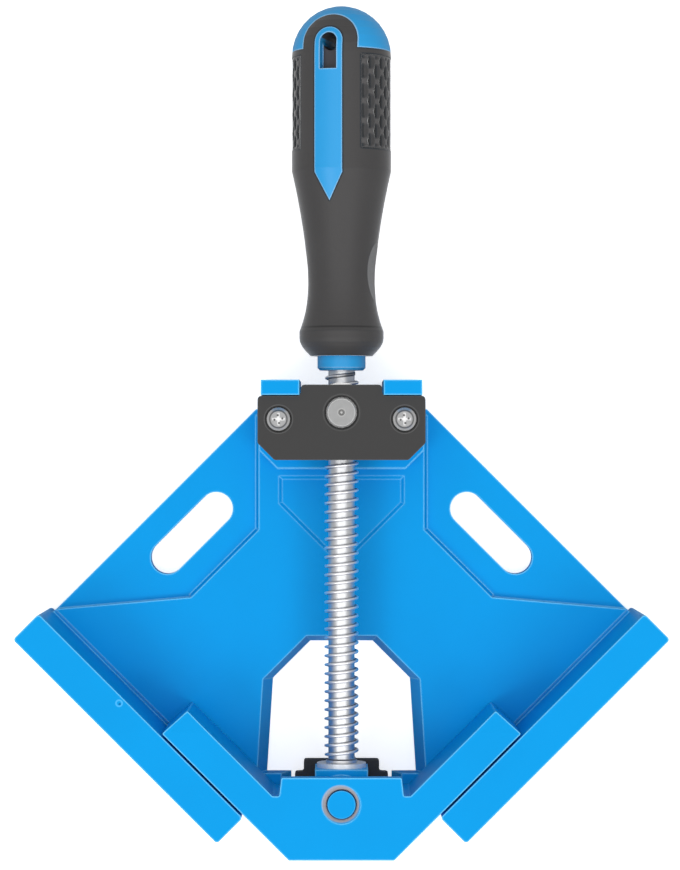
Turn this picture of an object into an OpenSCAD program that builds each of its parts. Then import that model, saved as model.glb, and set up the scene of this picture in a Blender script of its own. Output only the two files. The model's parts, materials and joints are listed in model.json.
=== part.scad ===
// Corner clamp that holds two pieces of work at ninety degrees.
// A hand screw pushes a floating V-shaped jaw against two fixed jaws that are cast into the base.
// The screw runs in a nut that swivels between the base and a bolted cap.
// Millimetres, +Z up, the underside of the base on Z = 0, the axis of the swivel nut at X = Y = 0,
// the corner of the work toward -Y and the handle toward +Y, drawn with the jaws closed.

/* [Fixed jaws] */
// Length of each fixed jaw along its clamping face
jaw_length = 95; // [88:1:102]
// Thickness of each fixed jaw
jaw_thick = 12; // [11:0.5:14]
// Height of the clamping faces above the bed
jaw_height = 35; // [34:0.5:38]
// Distance from the corner of the work to the near end of each fixed jaw
jaw_start = 46; // [44:0.5:48]
// Distance from the swivel nut axis to the corner of the work
nut_to_corner = 166; // [164:0.5:170]
// Radius of the upright edges at the ends of the fixed jaws
jaw_end_round = 1.2; // [0.6:0.1:2.4]

/* [Base casting] */
// Height of the bed above the bench
bed_height = 9; // [8:0.5:11]
// Thickness of the two wings
wing_thick = 6; // [5:0.25:7]
// How far the wing edges lie inside the far ends of the fixed jaws
wing_setback = 2; // [1:0.5:4]
// Width of the raised spine that runs forward from the nut, at its top
spine_width = 56.4; // [56.4:0.2:60]
// How much the sides of the spine and its flares spread from the bed down to the wings
bed_draft = 1; // [0.6:0.1:1.4]
// Distance from the nut axis to the place where the spine flares out
spine_length = 39.7; // [36:0.1:42]
// Sideways reach of the flare on each side
flare_reach = 23; // [20:0.5:25]
// Skin left above the cored underside
cast_skin = 3.5; // [3:0.25:4.5]
// Width of the walls around the cored pockets
cast_wall = 4; // [3:0.25:5]
// Thickness of the ribs under the base
rib_thick = 3; // [2:0.25:4]
// Width of each bolt slot in the wings
slot_width = 11.3; // [9:0.1:13]
// Distance between the two round ends of a bolt slot
slot_travel = 23.6; // [18:0.2:28]
// Distance from the wing edge to the middle line of its slot
slot_inset = 14.4; // [12:0.2:17]
// Distance from the clamping face to the middle of the slot
slot_from_jaw = 52.3; // [48:0.1:56]
// Width of the relief groove at the foot of each clamping face
groove_width = 1.2; // [0.8:0.1:2]
// Depth of the relief groove
groove_depth = 0.8; // [0.4:0.1:1.4]
// Depth of the home-plate recess in front of the nut
recess_depth = 0.8; // [0.4:0.1:1.2]
// Width of the home-plate recess at the bed
recess_width = 42.8; // [36:0.2:46]
// Length of the straight sides of the recess
recess_side = 9.5; // [8:0.1:11]
// How much the recess narrows down to its floor, on each side
recess_draft = 1.2; // [0.6:0.1:1.6]

/* [Window] */
// Width of the window between the fixed jaws, at the bed
window_width = 55.4; // [50:0.2:56]
// Width of the short rear edge of the window
window_rear_width = 23.8; // [18:0.2:30]
// Length of the window from its front edge to its rear edge
window_length = 46.8; // [40:0.1:48]
// Distance from the corner of the work to the front edge of the window
window_from_corner = 43.4; // [42:0.1:48]
// Width of the throat that runs on from the window to the open corner
throat_width = 40.8; // [38:0.2:44]
// Distance from the corner of the work to the front ends of the prongs beside the throat
prong_from_corner = 29; // [27:0.5:31]
// How much the window narrows from the bed to the underside, on each side
window_draft = 3.2; // [1:0.2:3.6]
// How much its rear edge runs forward from the bed to the underside
window_rear_draft = 2.2; // [1:0.1:3]
// How much its slanted edges run inward from the bed to the underside
window_slant_draft = 2.4; // [1:0.1:3]
// How far its sides spread toward the front, each way from their mean place
window_lean = 1; // [0:0.1:1.4]

/* [Nut housing] */
// Diameter of the swivel nut barrel
nut_d = 20; // [18:0.5:24]
// Diameter of the nut journals
journal_d = 10.1; // [9:0.1:11]
// Length of the lower nut journal
journal_len = 9; // [7:0.5:9.5]
// Width of the pedestal that carries the nut
pedestal_width = 55.8; // [54:0.2:56.2]
// Distance from the nut axis to the front of the pedestal
pedestal_front = 18.7; // [18:0.1:19.5]
// Distance from the nut axis to the rear of the pedestal between the posts
pedestal_rear = 8.8; // [8:0.1:9.2]
// Corner cut at the front of the pedestal
pedestal_cut = 6.2; // [5:0.2:7]
// Opening between the two posts
post_gap = 27.8; // [26:0.2:29]
// Distance from the nut axis to the rear of the posts
post_rear = 10.8; // [10.4:0.1:12]
// Depth of the tab at the rear of each post
tab_depth = 5; // [4:0.1:5]
// Width of each tab
tab_width = 12.7; // [11:0.1:13]

/* [Nut cap] */
// Thickness of the cap plate
cap_thick = 6; // [5:0.25:7]
// Width of the cap plate
cap_width = 55.4; // [54:0.2:56.4]
// Distance from the nut axis to the front of the cap
cap_front = 15.7; // [15:0.1:16.5]
// Corner cut at the front of the cap
cap_cut = 5.6; // [4:0.2:6.5]
// Distance from the nut axis to the rear of the tongue between the tabs
cap_tongue = 9.2; // [8:0.1:10]
// Round at the corners of the cap
cap_corner = 1.4; // [0.6:0.1:1.8]
// How far the cap lies below the tops of the tabs
cap_drop = 1.5; // [1:0.1:2.5]
// Distance between the two cap screws
cap_screw_pitch = 41.6; // [40:0.1:42.4]
// Distance of the cap screws in front of the nut axis
cap_screw_front = 2.2; // [0:0.1:4]
// Shank diameter of the cap screws
cap_screw_d = 4; // [3:0.5:5]
// Head diameter of the cap screws
cap_head_d = 7.6; // [7:0.1:8.4]
// Head height of the cap screws
cap_head_h = 2.4; // [2:0.1:3]
// How deep the cap screw heads are sunk into the cap
cap_head_sink = 1.2; // [0.6:0.1:2]
// How far the cap screws enter the posts
cap_screw_bite = 12; // [9:0.5:14]

/* [Screw spindle] */
// Outside diameter of the thread
thread_d = 11.5; // [10:0.1:12]
// Lead of the thread, one turn
thread_pitch = 3; // [2:0.5:4]
// Diameter of the nose that turns in the swivel head
nose_d = 8; // [7:0.2:8.6]
// Diameter of the tang inside the handle
tang_d = 9.2; // [8:0.2:9.6]
// Length of the tang inside the handle
tang_len = 72; // [50:1:80]
// Thickness of the retaining clip
clip_thick = 1; // [0.8:0.1:1.4]
// Length of the nose past the clip
nose_past_clip = 2; // [1.5:0.1:3]
// Depth of the groove for the clip
clip_groove = 0.9; // [0.6:0.1:1.2]
// Width of the ring of the clip outside the nose
clip_rim = 2.2; // [1.5:0.1:3]

/* [Moving jaw] */
// Gap between the fixed and the moving faces as drawn
closed_gap = 0.8; // [0.7:0.05:1.4]
// Distance from the corner of the work to the arm tips
arm_reach = 84.4; // [80:0.2:90]
// Thickness of the arms
arm_thick = 11.2; // [10.6:0.1:12]
// Wall between the flat nose and the cored middle
nose_wall = 4.9; // [4:0.1:6]
// Width of the middle block
block_width = 39.6; // [38.6:0.2:40.6]
// Distance from the corner of the work to the rear edge of the block
block_from_corner = 45.7; // [44:0.1:47]
// Width of the floor of the notch between the block and each arm
notch_width = 2.2; // [1.6:0.1:4]
// Draft of each side of the block over the depth of the notch
notch_draft = 0.7; // [0.2:0.1:1]
// Distance from the rear edge of the block to the jaw pivot
pivot_inset = 8.9; // [8.4:0.1:9.6]
// How far the block is open under its skin at the rear
rear_open = 5.6; // [4.5:0.1:6]
// Skin left above the cored underside of the jaw
jaw_skin = 5; // [4:0.25:6]
// Slope of the arm tips
tip_slope = 4; // [2:0.5:6]

/* [Swivel head] */
// Width of the swivel head
head_width = 17.6; // [17:0.1:18.2]
// Diameter of the head trunnions
trunnion_d = 9.7; // [9:0.1:10.4]
// Distance from the jaw pivot to the rear face of the head
head_rear = 10.7; // [10:0.1:11.4]
// Distance from the jaw pivot to the flat on the front of the head
head_front = 7; // [6.4:0.1:7.6]
// Outside diameter of the thrust washer
washer_d = 16.4; // [14:0.2:17]
// Thickness of the thrust washer
washer_thick = 1.5; // [1:0.1:2]
// Space beside the swivel head in the moving jaw
head_room = 2.7; // [2.4:0.1:3.2]
// Space in front of the nose of the spindle
nose_room = 3.3; // [2.5:0.1:4]
// Thickness of the keeper plate
keeper_thick = 3.2; // [2.8:0.1:3.6]
// Distance from the keeper screws to the side edges of the keeper plate
keeper_edge = 2.4; // [2.2:0.1:3]
// Step from each side edge of the keeper plate to its tongue
keeper_step = 3; // [2:0.1:4]
// How far the keeper tongue shows behind the jaw
keeper_reach = 3; // [2:0.1:4]
// How far the side edges of the keeper plate end inside the jaw
keeper_setback = 1.2; // [1:0.1:2]
// Round at the corners of the keeper plate
keeper_corner = 1; // [0.4:0.1:1.2]
// Corner cut at the front of the keeper plate
keeper_cut = 5.5; // [4:0.1:6]
// Shank diameter of the keeper screws
keeper_screw_d = 2.5; // [2:0.1:3]
// Head diameter of the keeper screws
keeper_head_d = 4.2; // [3.6:0.1:4.4]
// Head height of the keeper screws
keeper_head_h = 1.3; // [1:0.1:1.6]
// Distance from the cored middle of the jaw to the keeper screws
keeper_screw_inset = 1.9; // [1.7:0.1:2.4]
// Distance of the keeper screws in front of the jaw pivot
keeper_screw_front = 4.5; // [3:0.1:5.5]
// How far the keeper screws enter the jaw
keeper_screw_bite = 9; // [7:0.5:11]

/* [Handle] */
// Length of the handle with its ferrule
handle_length = 121.8; // [110:0.2:130]
// Largest diameter of the grip
grip_d = 33.2; // [30:0.2:36]
// Diameter of the waist
waist_d = 22.4; // [21:0.2:26]
// Diameter of the collar next to the ferrule
collar_d = 28.2; // [26:0.2:31]
// Diameter of the ferrule
ferrule_d = 16.1; // [14:0.1:18]
// Length of the ferrule
ferrule_len = 4.8; // [4:0.1:7]
// Eased front edge of the ferrule
ferrule_round = 0.8; // [0.4:0.1:1.2]
// Length of the rounded front of the collar
collar_len = 5.8; // [4:0.1:8]
// Depth of the rounded front of the collar
collar_round = 3.7; // [3:0.1:5]
// Length of the flat band on the collar
collar_band = 2.4; // [1:0.1:4]
// Length of the hollow from the collar to the waist
neck_len = 16; // [12:0.5:20]
// Length of the full-width barrel of the grip
barrel_len = 38.5; // [34:0.5:44]
// Length of the rounded end
dome_len = 16.8; // [14:0.1:20]
// Distance from the nut axis to the ferrule, jaws closed
ferrule_from_nut = 14.2; // [13:0.1:16]
// Thickness of the soft grip over the core
grip_wall = 2.6; // [2:0.1:3.2]
// Length of the textured panels on the two flanks
panel_len = 30.9; // [24:0.1:34]
// Depth of the textured panels
panel_depth = 0.8; // [0.4:0.1:1.2]
// Distance from the textured panels to the rounded end
panel_from_dome = 0.8; // [0.5:0.1:3]
// Half angle of each textured panel
panel_half_angle = 51; // [40:1:60]
// How far the grip runs past the start of the rounded end
grip_over_dome = 1.3; // [0.5:0.1:3]
// Width of the bare stripe of core that shows through the grip
stripe_width = 9.5; // [8.6:0.1:12]
// Length of the stripe from the hanging hole to its square shoulders
stripe_len = 43.3; // [36:0.1:50]
// Length of the point of the stripe
stripe_point = 9.3; // [6:0.1:12]
// Width of the arch of grip around the end of the stripe
arch_width = 4.55; // [3.5:0.05:5.5]
// Diameter of the hanging hole
hang_d = 5.7; // [5:0.1:6.2]
// Distance from the hanging hole to the end of the handle
hang_from_end = 13.3; // [12:0.1:15]
// Length of the hollow beside the hanging hole
hang_slot_len = 9.2; // [7:0.1:11]
// Depth of the hollow beside the hanging hole
hang_depth = 4; // [3:0.1:5]
// Radius of the thumb hollows on the waist
thumb_radius = 30; // [24:1:40]
// Depth of the thumb hollows
thumb_depth = 0.9; // [0.5:0.1:1.4]
// Distance from the waist to the middle of the thumb hollows
thumb_from_waist = 2.8; // [0:0.1:6]
// Angle by which the handle is turned as drawn
handle_turn = 16; // [0:1:40]

/* [Fits] */
// Radial clearance of the running fits
run_clear = 0.08; // [0.04:0.01:0.1]
// Gap between the moving jaw and the bed
foot_clear = 0.3; // [0.2:0.05:0.6]
// Clearance of the parts that are assembled face to face
seat_clear = 0.1; // [0.05:0.01:0.2]

/* [Hidden] */
$fn = 64;
r2 = sqrt(2);
cut = 1;
top_z = bed_height + jaw_height;
axis_z = bed_height + jaw_height / 2;
cap_top_z = top_z - cap_drop;
cap_under_z = cap_top_z - cap_thick;
floor_z = 2 * axis_z - cap_under_z;
wing_edge = jaw_start + jaw_length - wing_setback;
spine_half = spine_width / 2;
spine_foot = spine_half + bed_draft;
wing_root_y = r2 * wing_edge - spine_foot - nut_to_corner;
window_half = window_width / 2;
window_front = nut_to_corner - window_from_corner;
window_rear = window_front - window_length;
prong_front = nut_to_corner - prong_from_corner;
tab_front = post_rear - tab_depth;
tab_out = post_gap / 2 + tab_width;
arm_inner = closed_gap + arm_thick;
vee_y = closed_gap * r2 - nut_to_corner;
block_rear = nut_to_corner - block_from_corner;
pivot_reach = block_rear + pivot_inset;
notch_root = block_width / 2 + notch_draft;
notch_x = notch_root + notch_width;
notch_y = notch_x + arm_inner * r2 - nut_to_corner;
foot_z = bed_height + foot_clear;
cavity_half = head_width / 2 + head_room;
cavity_z = top_z - jaw_skin;
keeper_z = bed_height + 2 * foot_clear;
keeper_top_z = keeper_z + keeper_thick;
head_top_z = cavity_z - 0.3;
head_foot_z = keeper_top_z + 0.3;
head_rear_y = head_rear - pivot_reach;
shoulder_y = head_rear_y + washer_thick + seat_clear;
clip_y = -pivot_reach - head_front - seat_clear;
nose_end_y = clip_y - clip_thick - nose_past_clip;
cavity_front = nose_room - nose_end_y;
nose_y = -cavity_front - nose_wall;
nose_flat = nose_y - vee_y;
keeper_screw_x = cavity_half + keeper_screw_inset;
keeper_screw_y = -pivot_reach - keeper_screw_front;
keeper_half = keeper_screw_x + keeper_edge;
grip_r = grip_d / 2;
waist_r = waist_d / 2;
collar_r = collar_d / 2;
grip_end_r = collar_r - collar_round;
collar_at = ferrule_len + collar_len;
neck_from = collar_at + collar_band;
waist_at = neck_from + neck_len;
dome_from = handle_length - dome_len;
shoulder_at = dome_from - barrel_len;
band_end = dome_from + grip_over_dome;
hang_at = handle_length - hang_from_end;
stripe_square = hang_at - stripe_len;
stripe_tip = stripe_square - stripe_point;
arch_r = stripe_width / 2 + arch_width;
hang_floor = grip_r - hang_depth;

blue = [0.0, 0.6, 0.9];
black = [0.2, 0.2, 0.2];
zinc = [0.78, 0.79, 0.8];

// A place near the right-hand jaw: u along its face from the corner of the work, v inward from the face
function jaw_point(u, v) = [(u - v) / r2, (u + v) / r2 - nut_to_corner];

// The full outline from its right-hand half, listed from the rear to the front
function whole(half) = concat(half, [for (i = [len(half) - 1:-1:0]) [-half[i][0], half[i][1]]]);

// Where the line through a along d meets the line through b along e
function meet(a, d, b, e) = let (w = b - a)
    a + d * (w[0] * e[1] - w[1] * e[0]) / (d[0] * e[1] - d[1] * e[0]);

// The outline with a small round of radius r at every corner
function eased(p, r, n = 4) = [for (i = [0:len(p) - 1])
    let (a = side(p, (i + len(p) - 1) % len(p)), b = side(p, i), t = r * tan(acos(a * b) / 2))
    for (k = [0:n]) p[i] - a * t * pow(1 - k / n, 2) + b * t * pow(k / n, 2)];

// Unit step along the side that starts at corner i
function side(p, i) = let (v = p[(i + 1) % len(p)] - p[i]) v / norm(v);

// The outline drawn inward by w on every side, corners listed clockwise
function inset(p, w) = [for (i = [0:len(p) - 1])
    let (a = side(p, (i + len(p) - 1) % len(p)), b = side(p, i))
    meet(p[i] + w * [a[1], -a[0]], a, p[i] + w * [b[1], -b[0]], b)];

module both_sides() {
    children();
    mirror([1, 0, 0]) children();
}

module at_right_jaw() translate([0, -nut_to_corner, 0]) rotate(45) children();

module along_spindle(y) translate([0, y, axis_z]) rotate([-90, 0, 0]) children();

module rounded_bar(length, width, r) {
    translate([r, 0]) square([length - 2 * r, width]);
    translate([0, r]) square([length, width - 2 * r]);
    for (x = [r, length - r]) for (y = [r, width - r]) translate([x, y]) circle(r);
}

module post_outline() {
    inner = post_gap / 2;
    front = cap_front - 1;
    polygon([[inner, post_rear], [tab_out, post_rear], [tab_out, cap_cut - front],
             [tab_out - cap_cut, -front], [inner, -front]]);
}

// Outer end of the bed and wings, from the fixed jaw round to the throat
function plate_front() = [jaw_point(wing_edge, -jaw_thick / 2), jaw_point(jaw_start + 4, -jaw_thick / 2),
    jaw_point(jaw_start, closed_gap), [throat_width / 2, -prong_front]];

module wing_outline() polygon(whole(concat([[spine_foot, wing_root_y]], plate_front())));

module bed_outline() polygon(whole(concat([[spine_half, wing_root_y], [spine_half, -spine_length],
    [spine_half + flare_reach, -spine_length - flare_reach], jaw_point(wing_edge, 1.4)], plate_front())));

// Solid between two outlines with the same number of corners, low at z0 and high at z1
module drafted(low, high, z0, z1) {
    n = len(low);
    polyhedron(concat([for (p = low) [p[0], p[1], z0]], [for (p = high) [p[0], p[1], z1]]),
        concat([[for (i = [n - 1:-1:0]) i], [for (i = [n:2 * n - 1]) i]],
               [for (i = [0:n - 1]) [i, (i + 1) % n, n + (i + 1) % n, n + i]]));
}

// Right-hand side of the spine and of its flare as two strips, from w outside the edge of the bed to 3 inside
function spine_strip(w) = [[spine_half + w, wing_root_y - 2], [spine_half + w, -spine_length - 2],
    [spine_half - 3, -spine_length - 2], [spine_half - 3, wing_root_y - 2]];

function flare_strip(w) = [for (p = [[-1, w], [flare_reach * r2, w], [flare_reach * r2, -3], [-1, -3]])
    [spine_half + (p[0] + p[1]) / r2, (p[1] - p[0]) / r2 - spine_length]];

// Sloping sides of the raised bed, bonded a little into the bed and the wing
module bed_skirt() {
    bond = 0.4;
    slope = bed_draft / (bed_height - wing_thick);
    low = bed_draft + slope * bond;
    high = slope * 0.1;
    drafted(spine_strip(low), spine_strip(high), wing_thick - bond, bed_height - 0.1);
    drafted(flare_strip(low), flare_strip(high), wing_thick - bond, bed_height - 0.1);
}

module pedestal_outline() {
    half = pedestal_width / 2;
    shoulder = tab_front - 0.4;
    polygon(whole([[tab_out, pedestal_rear], [tab_out, shoulder], [half, shoulder],
                   [half, pedestal_cut - pedestal_front], [half - pedestal_cut, -pedestal_front]]));
}

// Window and throat at height z, narrower toward the underside
function window_ring(z) = let (k = 1 - z / bed_height, rear = -window_rear - window_rear_draft * k,
    slant = window_rear_width / 2 - window_rear - window_slant_draft * r2 * k,
    half = window_half - window_draft * k, throat = throat_width / 2 - window_draft * k)
    whole([[slant - rear, rear], [half - window_lean, slant - half + window_lean],
           [half + window_lean, -window_front], [throat, -window_front], [throat, -prong_front - 9]]);

module window_cut() drafted(window_ring(-cut), window_ring(bed_height + cut), -cut, bed_height + cut);

// Shallow home-plate recess with sloping walls
module recess_cut() {
    half = recess_width / 2;
    rear = -pedestal_front - 2.6;
    edge = whole([[half, rear], [half, rear - recess_side], [1, rear - recess_side + 1 - half]]);
    drafted(inset(edge, recess_draft), inset(edge, -recess_draft), bed_height - recess_depth,
            bed_height + recess_depth);
}

module bed_pocket() {
    space = [[window_half, spine_half - spine_length - window_half],
             [spine_half + flare_reach, -spine_length - flare_reach], jaw_point(wing_edge, 1.4),
             [window_half, window_half - nut_to_corner]];
    difference() {
        polygon(inset(space, cast_wall));
        at_right_jaw() for (u = [78, 106]) translate([u, 0]) square([rib_thick, jaw_length]);
    }
}

module base_solid() {
    linear_extrude(wing_thick) wing_outline();
    linear_extrude(bed_height) bed_outline();
    linear_extrude(floor_z) pedestal_outline();
    both_sides() {
        bed_skirt();
        linear_extrude(cap_under_z) post_outline();
        translate([post_gap / 2, tab_front, cap_under_z - cut])
            cube([tab_width, tab_depth, top_z - cap_under_z + cut]);
        at_right_jaw() translate([jaw_start, -jaw_thick, 0]) linear_extrude(top_z)
            rounded_bar(jaw_length, jaw_thick, jaw_end_round);
    }
}

module base_cuts() {
    window_cut();
    recess_cut();
    translate([0, 0, floor_z - journal_len]) cylinder(h = journal_len + cut, d = journal_d + 2 * run_clear);
    spine_pocket = [spine_half - cast_wall, window_rear - pedestal_front - 2 * cast_wall];
    for (x = [-spine_pocket[0], rib_thick / 2]) translate([x, -window_rear + cast_wall, -cut])
        cube([spine_pocket[0] - rib_thick / 2, spine_pocket[1], bed_height - cast_skin - recess_depth + cut]);
    both_sides() {
        at_right_jaw() {
            translate([wing_edge - slot_inset, slot_from_jaw - slot_travel / 2, -cut]) {
                cylinder(h = bed_height + 2 * cut, d = slot_width);
                translate([0, slot_travel, 0]) cylinder(h = bed_height + 2 * cut, d = slot_width);
                translate([-slot_width / 2, 0, 0]) cube([slot_width, slot_travel, bed_height + 2 * cut]);
            }
            translate([jaw_start - jaw_thick, 0, bed_height - groove_depth])
                cube([jaw_length + jaw_thick, groove_width, groove_depth + cut]);
            translate([jaw_start + cast_wall, cast_wall - jaw_thick, -cut])
                cube([jaw_length - 2 * cast_wall, jaw_thick - 2 * cast_wall, top_z - jaw_skin + cut]);
        }
        translate([0, 0, -cut]) linear_extrude(bed_height - cast_skin + cut) bed_pocket();
        translate([cap_screw_pitch / 2, -cap_screw_front, cap_under_z - cap_screw_bite - 2])
            cylinder(h = cap_screw_bite + 2 + cut, d = cap_screw_d + 2 * run_clear);
        translate([journal_d / 2 + cast_wall, cast_wall + 2 - cap_front, -cut])
            cube([tab_out - journal_d / 2 - 2 * cast_wall, cap_front + post_rear - 2 * cast_wall - 6,
                  floor_z - 4]);
    }
}

module base_casting() color(blue) difference() {
    base_solid();
    base_cuts();
}

module nut_cap() color(black) {
    tongue = post_gap / 2 - 0.5;
    shoulder = tab_front - 0.3;
    half = cap_width / 2;
    difference() {
        translate([0, 0, cap_under_z]) linear_extrude(cap_thick)
            polygon(eased(whole([[tongue, cap_tongue], [tongue, shoulder], [half, shoulder],
                [half, cap_cut - cap_front], [half - cap_cut, -cap_front]]), cap_corner));
        translate([0, 0, cap_under_z - cut]) cylinder(h = cap_thick + 2 * cut, d = journal_d + 2 * run_clear);
        translate([0, 0, cap_top_z - 1]) cylinder(h = 1.01, d1 = journal_d, d2 = journal_d + 2);
        both_sides() translate([cap_screw_pitch / 2, -cap_screw_front, cap_under_z - cut]) {
            cylinder(h = cap_thick + 2 * cut, d = cap_screw_d + 2 * run_clear);
            translate([0, 0, cap_thick + cut - cap_head_sink]) cylinder(h = cap_head_h, d = cap_head_d + 1.4);
        }
    }
}

// Pan-head screw with a cross recess, head seated in the cap
module cap_screw()
    translate([cap_screw_pitch / 2, -cap_screw_front, cap_top_z - cap_head_sink]) difference() {
    union() {
        translate([0, 0, cap_head_sink - cap_thick - cap_screw_bite])
            cylinder(h = cap_thick + cap_screw_bite, d = cap_screw_d);
        cylinder(h = cap_head_h * 0.55, d = cap_head_d);
        translate([0, 0, cap_head_h * 0.55 - 0.01])
            cylinder(h = cap_head_h * 0.45 + 0.01, d1 = cap_head_d, d2 = cap_head_d * 0.68);
    }
    translate([0, 0, cap_head_h]) for (a = [0, 90]) rotate(a)
        cube([cap_head_d * 0.56, cap_head_d * 0.12, cap_head_h], center = true);
}

module cap_screw_right() color(zinc) cap_screw();

module cap_screw_left() color(zinc) mirror([1, 0, 0]) cap_screw();

// Barrel nut that swivels on its two journals and carries the thread
module swivel_nut() color(zinc) difference() {
    union() {
        translate([0, 0, floor_z + seat_clear])
            cylinder(h = cap_under_z - floor_z - 2 * seat_clear, d = nut_d);
        translate([0, 0, floor_z - journal_len + 1])
            cylinder(h = cap_top_z - floor_z + journal_len - 1.4, d = journal_d);
        translate([0, 0, cap_top_z - 0.41]) cylinder(h = 0.6, d1 = journal_d, d2 = journal_d - 1.2);
    }
    along_spindle(-nut_d) cylinder(h = 2 * nut_d, d = thread_d + 2 * run_clear);
    translate([0, 0, cap_top_z - 0.5]) cylinder(h = 1, d1 = 0.8, d2 = 2.8);
}

// Block that pivots in the moving jaw on two trunnions and takes the nose of the spindle
module swivel_head() color(blue) difference() {
    union() {
        translate([0, -pivot_reach, head_foot_z]) cylinder(h = head_top_z - head_foot_z, d = head_width);
        translate([-head_width / 2, -pivot_reach, axis_z - 9.2]) cube([head_width, head_rear, 18.4]);
        translate([0, -pivot_reach, keeper_z + 0.3]) cylinder(h = top_z - keeper_z - 0.8, d = trunnion_d);
    }
    along_spindle(-pivot_reach - head_width) cylinder(h = 2 * head_width + cut, d = nose_d + 2 * run_clear);
    translate([-head_width, -pivot_reach - head_width, axis_z - 7.5])
        cube([2 * head_width, head_width - head_front, 15]);
}

module thrust_washer() color(zinc) along_spindle(head_rear_y) difference() {
    cylinder(h = washer_thick, d = washer_d);
    translate([0, 0, -cut]) cylinder(h = washer_thick + 2 * cut, d = nose_d + 2 * run_clear);
}

// Plain rod at the outside diameter of its thread, with the nose, the clip groove and the tang
module spindle() color(zinc) {
    clip_at = clip_y - clip_thick;
    difference() {
        union() {
            along_spindle(shoulder_y) cylinder(h = ferrule_from_nut - shoulder_y, d = thread_d);
            along_spindle(nose_end_y + 0.8) cylinder(h = shoulder_y - nose_end_y, d = nose_d);
            along_spindle(nose_end_y) cylinder(h = 0.81, d1 = nose_d - 1.6, d2 = nose_d);
            along_spindle(ferrule_from_nut - cut) cylinder(h = tang_len + cut, d = tang_d);
        }
        along_spindle(clip_at - 0.05) difference() {
            cylinder(h = clip_thick + 0.1, d = nose_d + 2);
            translate([0, 0, -cut]) cylinder(h = clip_thick + 3 * cut, d = nose_d - 2 * clip_groove);
        }
    }
}

// Spring clip in the groove of the nose, open on one side
module retaining_clip() color(zinc) along_spindle(clip_y - clip_thick) difference() {
    cylinder(h = clip_thick, d = nose_d + 2 * clip_rim);
    translate([0, 0, -cut]) cylinder(h = clip_thick + 2 * cut, d = nose_d - 2 * clip_groove + 2 * run_clear);
    translate([-nose_d * 0.36, 0, -cut]) cube([nose_d * 0.72, nose_d, clip_thick + 2 * cut]);
}

module at_handle() along_spindle(ferrule_from_nut) rotate(-handle_turn) children();

// Side of the handle from the grip end to the butt, drawn in by w
function handle_side(w) = concat(
    [for (t = [0:0.25:1]) [grip_end_r + (collar_r - grip_end_r) * sin(90 * t) - w,
                           ferrule_len + (collar_at - ferrule_len) * t]],
    [for (t = [0:0.2:0.8]) [waist_r + (collar_r - waist_r) * pow(1 - t, 2.2) - w,
                            neck_from + (waist_at - neck_from) * t]],
    [for (t = [0:0.125:1]) [waist_r + (grip_r - waist_r) * pow(t, 1.6) - w,
                            waist_at + (shoulder_at - waist_at) * t]],
    [for (a = [0:10:80]) [grip_r * cos(a) - w * (1 - a / 90),
                          dome_from + (handle_length - dome_from - w) * sin(a)]]);

module handle_body(w) rotate_extrude() polygon(concat([[0, ferrule_len]], handle_side(w),
                                                       [[0, handle_length - w]]));

// Shallow thumb hollows on the two flanks of the waist
module thumb_hollows() for (x = [-1, 1])
    translate([x * (waist_r + thumb_radius - thumb_depth), 0, waist_at + thumb_from_waist])
        rotate([90, 0, 0]) cylinder(h = grip_d, r = thumb_radius, center = true);

// Sunk panels on the two flanks of the grip
module grip_panels() for (a = [0, 180]) rotate(a - panel_half_angle)
    rotate_extrude(angle = 2 * panel_half_angle)
        translate([grip_r - panel_depth, dome_from - panel_from_dome - panel_len])
            square([panel_depth + cut, panel_len]);

module stripe_outline() {
    half = stripe_width / 2;
    translate([0, hang_at]) circle(half);
    polygon([[-half, hang_at], [-half, stripe_square], [0, stripe_tip], [half, stripe_square],
             [half, hang_at]]);
}

// The part of the surface that the soft grip covers, seen from the stripe side
module grip_cover() rotate([90, 0, 0]) linear_extrude(2 * grip_d, center = true) difference() {
    union() {
        translate([-grip_d, ferrule_len - cut]) square([2 * grip_d, band_end - ferrule_len + cut]);
        translate([0, hang_at]) circle(arch_r);
        translate([-arch_r, hang_at - arch_r]) square([2 * arch_r, arch_r]);
    }
    stripe_outline();
}

module hang_recess() for (m = [0, 1]) mirror([0, m, 0])
    translate([-hang_d / 2, hang_floor, hang_at - hang_slot_len]) cube([hang_d, grip_r, hang_slot_len]);

module handle_core() color(blue) at_handle() difference() {
    union() {
        cylinder(h = ferrule_round, d1 = ferrule_d - 2 * ferrule_round, d2 = ferrule_d);
        translate([0, 0, ferrule_round - 0.01])
            cylinder(h = ferrule_len - ferrule_round + cut, d = ferrule_d);
        handle_body(grip_wall);
        difference() {
            handle_body(0);
            grip_cover();
        }
    }
    translate([0, 0, -cut]) cylinder(h = tang_len + cut, d = tang_d);
    translate([0, 0, hang_at]) rotate([90, 0, 0]) cylinder(h = 2 * grip_d, d = hang_d, center = true);
    hang_recess();
}

module handle_grip() color(black) at_handle() difference() {
    intersection() {
        handle_body(0);
        grip_cover();
    }
    handle_body(grip_wall);
    thumb_hollows();
    grip_panels();
}

module jaw_outline() polygon(eased(whole([[block_width / 2, -block_rear], [notch_root, notch_y],
    [notch_x, notch_y], jaw_point(arm_reach - 0.6, arm_inner), jaw_point(arm_reach, closed_gap),
    [nose_flat, nose_y]]), notch_width * 0.27));

module keeper_outline(gap) {
    half = keeper_half + gap;
    tongue = half - keeper_step;
    rear = -block_rear - keeper_setback + gap;
    front = keeper_screw_y - keeper_edge - keeper_cut - gap;
    polygon(eased(whole([[tongue, keeper_reach - block_rear], [tongue, rear], [half, rear],
                         [half, front + keeper_cut], [half - keeper_cut, front]]), keeper_corner));
}

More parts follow.
